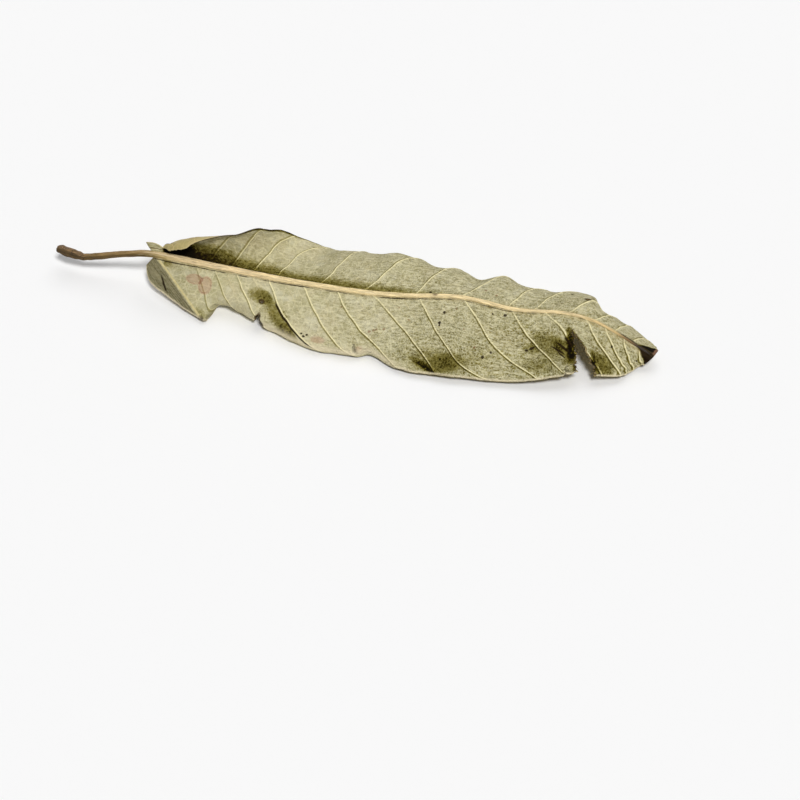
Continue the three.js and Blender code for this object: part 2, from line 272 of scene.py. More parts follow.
def between(x, low, high):
    return ease((x - low) / (high - low))


def spot(x, y, at_x, at_y, length, width, angle=0.0):
    """A soft oval spot, 1 at its middle."""
    c, s = math.cos(math.radians(angle)), math.sin(math.radians(angle))
    dx, dy = x - at_x, y - at_y
    return np.exp(-(((dx * c + dy * s) / length) ** 2) - ((dy * c - dx * s) / width) ** 2)


def blotch(x, y, *mark):
    """A spot with a level middle and a steeper edge."""
    return np.exp(-(np.log(spot(x, y, *mark) + 1e-30) ** 2))


# ---- veins ----

# Where the side veins leave the midrib, and how far toward the tip they reach at the margin.
VEINS = {
    -1: [14.5, 20.5, 27.7, 39.5, 51.3, 62.5, 74.4, 90.4, 105, 121.4, 132.2, 145.9, 152.8, 160,
         166],
    1: [5, 11, 17, 24.9, 32.7, 41.6, 56.4, 70.9, 88.8, 103.8, 119.8, 128.4, 139.7, 148.6, 156,
        162.5],
}
# Rows: start on the midrib, distance gained at the margin, and how straight the vein runs.
LEAN = {-1: [
    (0, 0, 0.9), (8, 5, 0.9), (20, 15, 0.9), (27.7, 20, 0.85), (39.5, 26, 0.58),
    (51.3, 24, 0.65), (62.5, 24, 0.75), (74.4, 25, 1), (90.4, 30.5, 0.45), (105, 28, 0.95),
    (121.4, 30, 0.62), (132.2, 27, 1.1), (145.9, 18, 1.25), (152.8, 13, 1.3), (160, 8, 1.2),
    (166, 4.5, 1), (LENGTH, 0, 1),
], 1: [
    (0, 0, 0.8), (10, 3, 0.8), (17, 8, 0.8), (24.9, 7, 0.22), (32.7, 7.5, 0.05),
    (41.6, 11, 0.12), (56.4, 16, 0.65), (70.9, 27, 0.9), (88.8, 21, 0.85), (103.8, 24, 0.85),
    (119.8, 19, 0.8), (128.4, 20, 0.8), (139.7, 17, 0.9), (148.6, 8, 1), (162.5, 4.5, 1),
    (LENGTH, 0, 1),
]}
# Thinner veins that fade out halfway to the margin.
MINOR = {
    -1: [17, 24, 33.5, 45.5, 57, 68, 79.5, 84.5, 97, 112.5, 127, 139.5],
    1: [29, 37.5, 49, 64, 80, 96, 112, 135],
}


def vein_line(side, r, v):
    """Distance along the blade, at share v, of the vein that leaves the midrib at r."""
    lean, straight = column(LEAN[side], 1, r), column(LEAN[side], 2, r)
    inside = between(r, 0, 8) * between(LENGTH - r, 0, 14)
    wander = 0.5 * noise(v * 4.3 + 7, r / 7 + 3, 11 + side) + 0.2 * noise(v * 11, r / 4, 21 + side)
    return r + lean * (straight * v + (1 - straight) * v**4) + wander * inside * between(v, 0, 0.12)


def vein_distance(side, r, v, roots):
    """Distance to the nearest of the veins that leave the midrib at these places."""
    gap = np.abs(r[:, None] - np.array(roots, float)).min(1)
    return gap * stretch_across(side, r, v)


def before_vein(side, r, v, roots):
    """Distance to the next vein toward the tip."""
    ahead = np.array(roots, float) - r[:, None]
    gap = np.where(ahead < -1e-3, 99, np.maximum(ahead, 0)).min(1)
    return np.minimum(gap, 9) * stretch_across(side, r, v)


def stretch_across(side, r, v):
    """How many millimetres across the veins one millimetre along the midrib becomes."""
    stretch = (vein_line(side, r + 0.05, v) - vein_line(side, r - 0.05, v)) / 0.1
    width = half_width(side, vein_line(side, r, v))
    rake = (vein_line(side, r, v + 0.005) - vein_line(side, r, v - 0.005)) / (0.01 * width)
    return np.abs(stretch) / np.sqrt(1 + rake**2)


GRID_SPACING = 0.62


def grid_columns(side):
    """Starts of the grid's lines on the midrib: close together beside veins."""
    near_vein = [0, 0.12, 0.25, 0.4, 0.6, 0.9]
    stops = [0, LENGTH]
    stops += [r + k * d for r in VEINS[side] for d in near_vein for k in (-1, 1)]
    stops += [r + k * d for r in MINOR[side] for d in (0, 0.15, 0.35) for k in (-1, 1)]
    stops = sorted({round(min(max(r, 0), LENGTH), 3) for r in stops})
    line = [stops[0]]
    for r in stops[1:]:
        if r - line[-1] < 0.08 and r < LENGTH:
            continue
        step = GRID_SPACING if r > 26 else GRID_SPACING * 0.6
        count = max(1, int(math.ceil((r - line[-1]) / step)))
        start = line[-1]
        line += [start + (r - start) * k / count for k in range(1, count + 1)]
    return np.array(line)


# ---- flat meshes over (vein, share), and cuts through them ----


def flat_grid(columns, rows):
    """Corners (r, v) and triangles of one half, before anything is torn off it."""
    r, v = np.meshgrid(columns, rows, indexing="ij")
    index = np.arange(r.size).reshape(r.shape)
    a, b = index[:-1, :-1].ravel(), index[1:, :-1].ravel()
    c, d = index[1:, 1:].ravel(), index[:-1, 1:].ravel()
    triangles = np.concatenate([np.stack([a, b, c], 1), np.stack([a, c, d], 1)])
    return np.stack([r.ravel(), v.ravel()], 1), triangles


def keep_where(corners, triangles, measure):
    """The part of a flat mesh where measure(r, v) is positive, cut cleanly along its zero."""
    value = measure(*corners.T)
    value = np.where(np.abs(value) < 1e-6, 1e-6, value)
    inside = value > 0
    count = inside[triangles].sum(1)
    kept = list(triangles[count == 3])
    corners = list(corners)
    cut_at = {}

    def cut(p, q):
        key = (min(p, q), max(p, q))
        if key not in cut_at:
            p, q = key
            t = value[p] / (value[p] - value[q])
            cut_at[key] = len(corners)
            corners.append(corners[p] + (corners[q] - corners[p]) * t)
        return cut_at[key]

    for triangle in triangles[(count == 1) | (count == 2)]:
        flags = inside[triangle]
        lone = int(np.argmax(flags == (flags.sum() == 1)))
        a, b, c = (int(triangle[(lone + k) % 3]) for k in range(3))
        ab, ac = cut(a, b), cut(a, c)
        if flags.sum() == 1:
            kept.append((a, ab, ac))
        else:
            kept += [(ab, b, c), (ab, c, ac)]
    used, renumbered = np.unique(np.array(kept, int), return_inverse=True)
    return np.array(corners)[used], renumbered.reshape(-1, 3)


def weld(places, triangles):
    """Merge corners that lie at one place. Also gives the first corner of each merged one."""
    _, first, merged = np.unique(places.round(4), axis=0, return_index=True,
                                 return_inverse=True)
    triangles = merged.reshape(-1)[triangles]
    a, b, c = triangles.T
    return first, triangles[(a != b) & (b != c) & (c != a)]


def corner_normals(places, triangles):
    a, b, c = (places[triangles[:, k]] for k in range(3))
    face = np.cross(b - a, c - a)
    total = np.zeros_like(places)
    for k in range(3):
        np.add.at(total, triangles[:, k], face)
    return total / np.maximum(np.linalg.norm(total, axis=1, keepdims=True), 1e-12)


def open_edges(triangles):
    """Edges with a triangle on one side only, in that triangle's direction."""
    edges = np.concatenate([triangles[:, [k, (k + 1) % 3]] for k in range(3)])
    key = np.sort(edges, 1)
    _, index, count = np.unique(key, axis=0, return_index=True, return_counts=True)
    return edges[index[count == 1]]


# ---- tears, holes and ragged edges ----


def tear_line(v):
    """Where the big tear runs, with the teeth of its torn edge."""
    teeth = 0.55 * noise(v * 17, 0, 31) + 0.35 * noise(v * 43, 0, 32)
    return TEAR["root"] + TEAR["lean"] * v + teeth * between(v, TEAR["apex"], TEAR["apex"] + 0.08)


def beside_tear(r, v):
    return vein_line(-1, r, v) - tear_line(v)


def tear_gap(v, seed):
    """Blade lost from one lip of the big tear."""
    ragged = 0.6 + 0.5 * noise(v * 13, 5, seed) + 0.3 * noise(v * 41, 0, seed)
    return 0.8 * ragged * between(v, TEAR["apex"], TEAR["apex"] + 0.25)


def outside_notch(r, v):
    """Distance from the edge of the small notch, which opens like a V."""
    u = vein_line(-1, r, v)
    middle = NOTCH["root"] + 0.35 * noise(v * 14, 0, 33) + 0.12 * noise(v * 50, 0, 35)
    opening = 1.8 * np.clip((v - NOTCH["apex"] - 0.04) / 0.2, 0, 1)
    return np.abs(u - middle) - opening + 1e-3


# The hole that insects have eaten in each half: distance along the blade, distance from the
# midrib and radius.
HOLE = {-1: (39.4, 8.9, 0.55), 1: (144.5, 8.7, 0.5)}


def outside_hole(side, r, v):
    along, across, radius = HOLE[side]
    u = vein_line(side, r, v)
    out = v * half_width(side, u)
    ragged = 0.3 * noise(u * 2.1, out * 2.1, 41)
    return np.hypot(u - along, out - across) - radius * (1 + ragged)


# Where the rolled base of the far half is folded sharpest: distance along the blade, share.
FOLD_LINE = [(0, 0.6), (8, 0.62), (12, 0.66), (16, 0.76), (18, 0.85)]


def outside_cracks(r, v):
    """Distance from the cracks along the fold of the far half's rolled base."""
    u = vein_line(1, r, v)
    away = np.abs(v - np.interp(u, *np.array(FOLD_LINE).T)) * half_width(1, u)
    open_half = 0.9 * noise(u / 1.9 + 4, 0, 57) + 0.5 * noise(u / 0.6, 0, 58) + 0.25
    opened = open_half * between(u, 3.2, 4.5) * (1 - between(u, 14, 17))
    return away - opened + 9 * between(u, 15, 19) + 1e-3


# Small bites out of the margin: distance along the blade, size and depth.
BITES = {
    -1: [(49, 1.6, 0.5), (87, 2.5, 0.4), (148.6, 0.9, 0.9), (150.6, 0.6, 0.6)],
    1: [(15, 2.2, 0.6), (158, 1.2, 0.3), (169, 0.5, 0.6)],
}


def margin_share(side, u):
    """How much of the half width is left at a ragged or worn margin."""
    width = half_width(side, u)
    worn = 0.12 + 0.1 * noise(u / 3.1, 0, 51 + side) + 0.06 * noise(u / 0.9, 0, 53 + side)
    if side > 0:
        fray = between(u, 1, 4) * (1 - between(u, 20, 27))
        teeth = np.abs(noise(u / 1.3, 0, 55)) + 0.7 * np.abs(noise(u / 0.45, 0, 56))
        worn = worn + fray * 0.2 * teeth
    bites = sum(d * spot(u, 0, at, 0, size, 1) for at, size, d in BITES[side])
    return 1 - np.clip((worn + bites) / width, 0, 0.5)


# ---- the blade in space ----


def torn_place(u, v, lip):
    """Places on the near half, with the lips of the tears drawn apart."""
    shift, sink, share = np.zeros_like(u), np.zeros_like(u), v
    for tear, side in ((NOTCH, np.sign(u - NOTCH["root"])), (TEAR, lip)):
        away = u - tear["root"] - tear["lean"] * v
        near = np.exp(-((away / tear["reach"]) ** 2))
        sunk = between(v, tear["apex"], tear["sunk"]) * (1 - v**3)
        later = side > 0
        if tear is TEAR:
            drawn = np.where(later, column(tear["lips"], 2, v), -column(tear["lips"], 1, v))
            shift += near * drawn
        sink += near * sunk * np.where(later, tear["sink"][1], tear["sink"][0])
        share = share * np.where(later, 1, 1 - tear["worn"] * near**4)
    place = blade_point(-1, u + shift, share)
    place[:, 2] -= sink
    return place


# Dents and a ridge of the near half, in rows like those of its marks below.
NEAR_DENTS = [
    (97, 23, 6, 4, 30, -0.6), (131, 12, 5, 4, 30, -0.5), (157, 13, 4, 3, 0, -0.5),
    (94.8, 25, 3.4, 1.1, 32, -0.7), (47.5, 16, 7, 1, 55, 0.35),
]


def quilting(side, r, v, u):
    """How the blade sinks between its side veins and puckers as it dries."""
    veins = np.array([0] + VEINS[side] + [LENGTH], float)
    k = np.clip(np.searchsorted(veins, r, side="right") - 1, 0, len(veins) - 2)
    gap = veins[k + 1] - veins[k]
    share = (r - veins[k]) / gap
    valley = np.sin(np.pi * share) ** 0.8 * np.minimum(gap / 14, 1)
    valley = valley * between(v, 0, 0.25) * (1 - 0.5 * between(v, 0.85, 1))
    out = v * half_width(side, u)
    puckers = 0.16 * noise(u / 5, out / 4, 61 + side) + 0.07 * noise(u / 2.2, out / 1.9, 63 + side)
    height = -0.5 * valley + puckers * between(v, 0, 0.15)
    if side < 0:
        for *mark, rise in NEAR_DENTS:
            height += rise * spot(u, out, *mark)
        crumple = spot(u, out, 38, 8.3, 3.4, 2.6, 20)
        height += crumple * (0.55 * noise(u / 1.1, out / 1.1, 65) - 0.5)
    fade = between(u, 0, 6) * between(LENGTH - u, 0, 5)
    return height * fade


def blade_half(side, columns, rows):
    """Corners, triangles and measures of one half of the blade's middle surface."""
    corners, triangles = flat_grid(columns, rows)
    corners, triangles = keep_where(corners, triangles, lambda r, v: outside_hole(side, r, v))
    if side > 0:
        parts = [(*keep_where(corners, triangles, outside_cracks), 0)]
    else:
        corners, triangles = keep_where(corners, triangles, outside_notch)
        parts = [
            (*keep_where(corners, triangles, lambda r, v: -beside_tear(r, v)), -1),
            (*keep_where(corners, triangles, beside_tear), 1),
        ]
    placed, count = [], 0
    for part, faces, lip in parts:
        r, v = part.T
        u = vein_line(side, r, v)
        share = v * margin_share(side, u)
        if side > 0:
            place = blade_point(1, u, share)
        else:
            gap = tear_gap(v, 34 + lip) * (lip * beside_tear(r, v) < 0.02)
            place = torn_place(u + lip * gap, share, lip)
        placed.append((part, place, faces + count))
        count += len(part)
    corners, places, triangles = (np.concatenate(arrays) for arrays in zip(*placed))
    first, triangles = weld(places, triangles)
    if side < 0:
        triangles = triangles[:, ::-1]
    return corners[first], places[first], triangles


def blade_measures(side, corners):
    """What the material needs to know of each corner of the middle surface."""
    r, v = corners.T
    u = vein_line(side, r, v)
    width = half_width(side, u)
    out, edge = v * width, (1 - v) * width
    vein = vein_distance(side, r, v, VEINS[side])
    minor = vein_distance(side, r, v, MINOR[side]) + 3 * between(v, 0.45, 0.75)
    lee = before_vein(side, r, v, VEINS[side])
    torn = outside_hole(side, r, v)
    fold, rim = np.full_like(u, -50), np.zeros_like(u)
    brown, pink, dark, olive = blade_marks(side, u, out)
    if side > 0:
        torn = np.minimum(torn, outside_cracks(r, v))
    else:
        torn = np.minimum(torn, np.where(v > NOTCH["apex"], outside_notch(r, v), 9))
        torn = np.minimum(torn, np.where(v > TEAR["apex"], np.abs(beside_tear(r, v)), 9))
        vein *= 1 + 0.9 * (1 - between(u, 22, 42))
        fold = behind_crease(u, v)
        roll = column(NEAR_ROLL, 1, u)
        rolled = between(u, 30, 44) * (1 - between(u, 80, 90))
        # A pale rim: painted light where the near margin rolls under, and the margin's own pale
        # edge where it lies flat.
        rim = rolled * np.exp(-(((edge - 0.5 * roll) / (0.8 + 0.1 * roll)) ** 2))
        rim += (1 - rolled) * (1 - between(edge, 0.3, 0.8))
        # Painted shade: a brown line on the stalk side of the veins that run over the crumple.
        over_crumple = (np.abs(r - 37.6) < 2) * between(v, 0.3, 0.45) * (1 - between(v, 0.84, 0.95))
        brown += 1.1 * over_crumple * np.exp(-(((lee - 0.55) / 0.3) ** 2))
    return dict(
        flat=np.stack([u, side * out, 0 * u], 1), share=v, rib=out, edge=edge, vein=vein,
        minor=minor, lee=lee, rim=rim, torn=torn, fold=fold, brown=brown, pink=pink, dark=dark,
        olive=olive,
    )


def blade_marks(side, u, out):
    """Stains, dried-out patches and painted shade, each as a share from 0 to about 1."""
    brown, pink, dark, olive = (np.zeros_like(u) for _ in range(4))
    if side < 0:
        for total, marks, shape in ((brown, NEAR_BROWN, spot), (dark, NEAR_DARK, blotch),
                                    (olive, NEAR_OLIVE, blotch)):
            for *mark, weight in marks:
                total += weight * shape(u, out, *mark)
        for x, y, length, width in ((19.3, 7.0, 1.9, 2.7), (15.3, 5.6, 2.4, 1.5)):
            ring = np.hypot((u - x) / length, (out - y) / width) - 1
            pink += 0.62 * np.exp(-((ring / 0.17) ** 2))
            pink += 0.42 * blotch(u, out, x, y, length, width)
        pink += 0.55 * spot(u, out, 60.8, 19.3, 2.8, 1.5)
        pink += 0.5 * spot(u, out, 74, 20.8, 1.5, 1.8)
        # A thin painted shadow along the near side of the midrib, with gaps in it.
        beside = out - column(RIB_RADIUS, 1, u) - 0.3
        rib_shadow = 0.8 + 0.4 * noise(u / 7, 0, 81) + 0.25 * noise(u / 1.6, 0, 82)
        rib_shadow = np.clip(rib_shadow - 0.15 * between(u, 80, 100), 0, 1)
        brown += rib_shadow * np.exp(-((beside / 0.22) ** 2)) * (1 - between(u, 120, 150))
        # The folded-down tip of the near half: a brown border, and painted shade that makes the
        # rest near-black.
        end = u - 165.6 - 1.6 * out
        brown += 1.2 * between(end, -0.6, 0.6)
        dark += 2.4 * between(end, -1.2, 0.3)
        olive += 0.5 * (1 - between(u, 8, 27)) + 0.75 * between(u, 88, 118)
        olive += 0.3 * between(u, 138, 158)
        olive += 0.35 * between(u, 62, 100) * between(out, 4, 16)
    else:
        # Painted shade along the far side of the midrib, where the blade dips into a trough,
        # deepest near the base.
        reach = np.interp(u, (12, 20, 30, 37, 45, 60, 80, 110),
                          (7, 8.5, 10.5, 11, 8.5, 6.2, 4.5, 2.2))
        depth = np.interp(u, (12, 17, 25, 40, 60, 95), (2.2, 1.75, 1.45, 1.15, 0.88, 0.58))
        past_stub = between(u, 2.5, 4.5)
        shadow = depth * (1 - between(out, 0.1 * reach, 1.4 * reach))
        dark += past_stub * shadow * (1 - between(u, 84, 122))
        # Painted shade in the wedge under the far half's rolled-over base.
        dark += 1.9 * (1 - between(u, 9, 14)) * past_stub
        # Painted shade in the fold between the lobes at the tip.
        dark += 2.4 * between(u, 164.6, 166) * (1 - between(out - 0.55 * (u - 165.2), 1.6, 2.4))
        # Brown painted shade in the hollow beside the midrib at the base.
        brown += 0.42 * between(u, 10, 14) * (1 - between(u, 24, 36)) * spot(out, 0, 4, 0, 5, 1)
        # Painted shade in a band just inside the far margin, where it curls over.
        lip = half_width(1, u) - out
        lip_width = np.interp(u, (10, 16, 26, 36, 45), (2.2, 1.3, 0.8, 0.5, 0.3))
        dark += 1.7 * np.exp(-((lip / lip_width) ** 2)) * (1 - between(u, 36, 60)) * past_stub
        olive += 0.3 * (1 - between(u, 16, 34)) + 0.7 * np.exp(-((out / (reach + 2)) ** 2))
        brown += 0.9 * spot(u, out, 144.5, 8.7, 1.2, 1.0)
        pink += 0.5 * between(u, 169.2, 171.2)
        olive += 0.2 * between(u, 110, 140)
        # Painted shade along the midrib where the far half folds over it near the tip.
        brown += 0.9 * np.exp(-((out / 1.6) ** 2)) * between(u, 154, 160)
    return brown, pink, dark, olive


# Marks on the near half: distance along the blade and from the midrib, the mark's two half
# sizes, its angle and its weight.
# Brown marks. The thin streaks beside the big tear, 140 to 144 mm along, are painted shadow.
NEAR_BROWN = [
    (72.3, 20.4, 0.5, 2.2, 0, 0.75), (73.4, 21.6, 0.45, 1.4, 0, 0.6),
    (6, 9.4, 3.4, 0.3, 66, 1.1), (39.4, 8.9, 1.2, 1, 0, 0.9),
    (20.4, 18, 1.6, 1, 40, 0.6), (140.4, 11.6, 3.2, 0.32, 5, 1.4),
    (142, 10.2, 2.8, 0.3, 12, 1.4), (142.6, 12.8, 2.2, 0.3, 12, 1.3),
    (143.4, 8.6, 2, 0.3, 20, 1.3), (130, 13.1, 0.8, 0.4, 20, 0.6),
    (98.4, 10, 0.5, 0.9, 0, 0.6), (56.2, 18.2, 1.3, 0.9, 0, 0.35),
]
# Dark marks: painted shade in the dents, crumples and the sunk lip of the big tear, and darker
# patches of the blade.
NEAR_DARK = [
    (38.2, 7, 4.4, 2.8, 10, 0.6), (46.4, 14, 10, 2.8, 50, 0.6),
    (98.5, 23.4, 12.5, 5, 6, 0.5), (94.8, 25.3, 4.8, 1.2, 32, 1.1),
    (101, 24, 5, 3, 0, 0.3), (136, 11.4, 8.5, 4.4, 20, 0.52),
    (145.6, 10, 6, 1.7, 50, 1.7), (141.5, 10.4, 4, 1.8, 20, 0.6),
    (146.5, 14, 2.6, 2.8, 0, 0.4), (156.3, 13.2, 5.5, 4.8, 0, 0.7),
    (51.5, 19.5, 5, 1.7, 42, 0.6), (20, 16.5, 3, 1.6, 30, 0.4),
    (5, 1.8, 2.5, 1.4, 40, 0.5), (129.5, 13.6, 3.4, 1.8, 20, 0.4),
    (153.4, 14.5, 1.1, 5, -20, 0.9), (108, 22.5, 6, 3.5, 0, 0.35),
    (134, 19, 9, 3.5, 0, 0.4), (116, 19, 5, 4, 0, 0.25),
]
NEAR_OLIVE = [
    (98, 21, 14, 8, 20, 0.7), (134, 12, 14, 7, 30, 0.7), (156, 11, 8, 8, 0, 0.7),
    (44, 12, 9, 4, 50, 0.4), (75, 19, 7, 3, 40, 0.3), (132, 19, 12, 4.5, 0, 0.7),
    (116, 19, 9, 6, 20, 0.5), (88, 19, 5, 4, 40, 0.4), (120, 8, 12, 4, 0, 0.3),
]

# Dark specks: distance along the blade, distance from the midrib (below 0 on the near half) and
# radius.
SPECKS = [
    (55.1, -17.9, 0.36), (56, -18.8, 0.42), (56.9, -18, 0.36), (98.4, -9.8, 0.5),
    (98.5, -10.7, 0.36), (99.6, -5.9, 0.5), (128.4, -14.2, 0.46), (129.8, -13.4, 0.55),
    (130.5, -13, 0.45), (116.8, -18.8, 0.48), (118.8, -16.6, 0.34), (116, -3.3, 0.3),
    (120, -2.7, 0.5), (157.6, -5, 0.42), (167.2, -4, 0.36), (95.2, 16.2, 0.32),
    (94, 1.9, 0.45), (139, 11.6, 0.45),
]
# Browner and fainter ones.
BROWN_SPECKS = [
    (76, -14, 0.45), (77.2, -13.5, 0.42), (78, -13.1, 0.36), (80.4, -12.8, 0.4),
    (113.5, -16.3, 0.4), (84.4, -4.6, 0.3), (103.5, -4.2, 0.3), (111.2, 6, 0.4),
    (115.2, 4.3, 0.4), (108, -11, 0.3), (88, -9, 0.3), (66, -6.5, 0.3), (124, 11, 0.35),
]

BLADE_HALF_THICKNESS = 0.15


def thicken(places, triangles, ridge, groove):
    """A closed sheet about a middle surface. ridge stands out of its upper face, and groove is
    let into its lower face."""
    normals = corner_normals(places, triangles)
    count = len(places)
    top = places + normals * (BLADE_HALF_THICKNESS + ridge)[:, None]
    bottom = places - normals * (BLADE_HALF_THICKNESS - groove)[:, None]
    a, b = open_edges(triangles).T
    rim = np.concatenate([np.stack([b, a, a + count], 1), np.stack([b, a + count, b + count], 1)])
    faces = np.concatenate([triangles, triangles[:, ::-1] + count, rim])
    kind = np.repeat([0, 1, 2], [len(triangles), len(triangles), len(rim)])
    return np.concatenate([top, bottom]), faces, kind


def vein_relief(measures):
    share = measures["share"]
    height = 0.26 - 0.18 * share
    ridge = height * np.exp(-((measures["vein"] / (0.30 - 0.13 * share)) ** 2))
    ridge += 0.45 * height * np.exp(-((measures["minor"] / 0.18) ** 2))
    ridge += 0.07 * (1 - between(measures["edge"], 0, 0.8))
    ridge *= between(measures["edge"], -0.2, 1.2) * 0.6 + 0.4
    return ridge


# ---- stalk and midrib ----


def tube_faces(steps, sides):
    """Triangles of a closed tube whose corners run ring by ring."""
    start, ring = np.meshgrid(np.arange(steps) * sides, np.arange(sides), indexing="ij")
    a, b = (start + ring).ravel(), (start + (ring + 1) % sides).ravel()
    k, last = np.arange(1, sides - 1), steps * sides
    return np.concatenate([np.stack(corners, 1) for corners in (
        (a, b, b + sides), (a, b + sides, a + sides),
        (0 * k, k + 1, k), (0 * k + last, k + last, k + 1 + last))])


def rib_rod():
    """The stalk and the midrib that it turns into, with fine ridges along them."""
    steps, sides = 720, 44
    s = np.linspace(-STALK_LENGTH, LENGTH - 1.5, steps + 1)
    from_end = s + STALK_LENGTH
    along = axis.tangent(from_end)
    out = sideways(along)
    up = np.cross(along, out)
    centre = axis.point(from_end) + up * (RIB_RISE * ease(s / 10 + 1))[:, None]
    radius = column(RIB_RADIUS, 1, s)
    dome = np.sqrt(1 - np.clip(1 - from_end / 0.8, 0, 1) ** 2)
    point = np.sqrt(np.clip((LENGTH - 1.5 - s) / 1.5, 0, 1) * 0.9 + 0.1)
    swell = between(-s, 23, 27)
    radius = radius * np.maximum(dome, 0.05) * point
    radius *= 1 + 0.05 * swell * noise(s / 1.6, 0, 71) + 0.02 * noise(s / 4, 0, 72)
    theta = 2 * np.pi * np.arange(sides) / sides
    grid_s, grid_t = np.meshgrid(s, theta, indexing="ij")
    rough = (0.030 + 0.045 * swell)[:, None]
    ridges = np.zeros_like(grid_s)
    for k, (waves, weight) in enumerate(((4, 0.8), (7, 0.9), (11, 0.7), (16, 0.5))):
        drift = 2.2 * noise(s / 14, k, 73)[:, None]
        ridges += weight * np.cos(waves * grid_t + drift + k)
    ridges += 1.3 * noise(grid_s / 1.4, 3 * np.cos(grid_t) + 9, 74)
    ridges += 1.3 * noise(grid_s / 1.4, 3 * np.sin(grid_t) + 5, 75) * swell[:, None]
    knot = spot(grid_s, grid_t, -26.5, 4.0, 1.2, 1.0)
    knot += spot(grid_s, grid_t, -30.5, 1.2, 0.9, 0.9)
    shape = radius[:, None] * (1 + rough * ridges + 0.12 * knot)
    flat_below = 1 - 0.5 * between(grid_s, 2, 12) * (np.sin(grid_t) < 0)
    across = shape * np.cos(grid_t)
    rise = shape * np.sin(grid_t) * flat_below
    places = centre[:, None] + out[:, None] * across[..., None] + up[:, None] * rise[..., None]
    flat = np.stack([grid_s, across, rise], -1).reshape(-1, 3)
    measures = dict(flat=flat, ridge=ridges.ravel(), along=grid_s.ravel())
    return places.reshape(-1, 3), tube_faces(steps, sides)[:, ::-1], measures


# ---- loose fibres ----


def fibre(start, direction, length, radius, bend):
    """One torn fibre that tapers to nothing."""
    sides, steps = 6, 10
    t = np.linspace(0, 1, steps + 1)[:, None]
    line = start + direction * length * t + bend * t**2
    along = unit(np.gradient(line, axis=0))
    one = unit(np.cross(along, (0.3, 0.5, 0.81)))
    two = np.cross(along, one)
    theta = 2 * np.pi * np.arange(sides) / sides
    size = radius * (1.02 - t)
    ring = one[:, None] * np.cos(theta)[:, None] + two[:, None] * np.sin(theta)[:, None]
    places = (line[:, None] + ring * size[:, None]).reshape(-1, 3)
    return places, tube_faces(steps, sides)


def torn_fibres():
    rng = np.random.default_rng(5)
    places, faces, count = [], [], 0
    for k in range(22):
        v = np.array([TEAR["apex"] + 0.02 + 0.62 * k / 22])
        u = tear_line(v)
        lip = -1 if k % 4 else 1
        start = torn_place(u + lip * 0.3, v, lip)[0]
        along = torn_place(u + lip * 1.3, v, lip)[0] - start
        direction = unit(-along + rng.normal(0, 0.5, 3))
        bend = rng.normal(0, 0.5, 3) - (0, 0, 0.5)
        p, f = fibre(start - direction * 0.4, direction, rng.uniform(1.0, 3.4), 0.075, bend)
        places.append(p)
        faces.append(f + count)
        count += len(p)
    return np.concatenate(places), np.concatenate(faces)


# ---- materials ----


def colour(red, green, blue):
    """An sRGB colour of 0 to 255 as the linear one that a shader takes."""
    def linear(x):
        x = x / 255
        return x / 12.92 if x <= 0.04045 else ((x + 0.055) / 1.055) ** 2.4
    return (linear(red), linear(green), linear(blue), 1.0)


DEEPER = (0.52, 0.49, 0.23, 1.0)


class Wire:
    """The output of a node, which sums and products can be written with."""

    def __init__(self, graph, socket):
        self.graph, self.socket = graph, socket

    def __add__(self, other):
        return self.graph.math("ADD", self, other)

    def __sub__(self, other):
        return self.graph.math("SUBTRACT", self, other)

    def __rsub__(self, other):
        return self.graph.math("SUBTRACT", other, self)

    def __mul__(self, other):
        return self.graph.math("MULTIPLY", self, other)

    __radd__, __rmul__ = __add__, __mul__


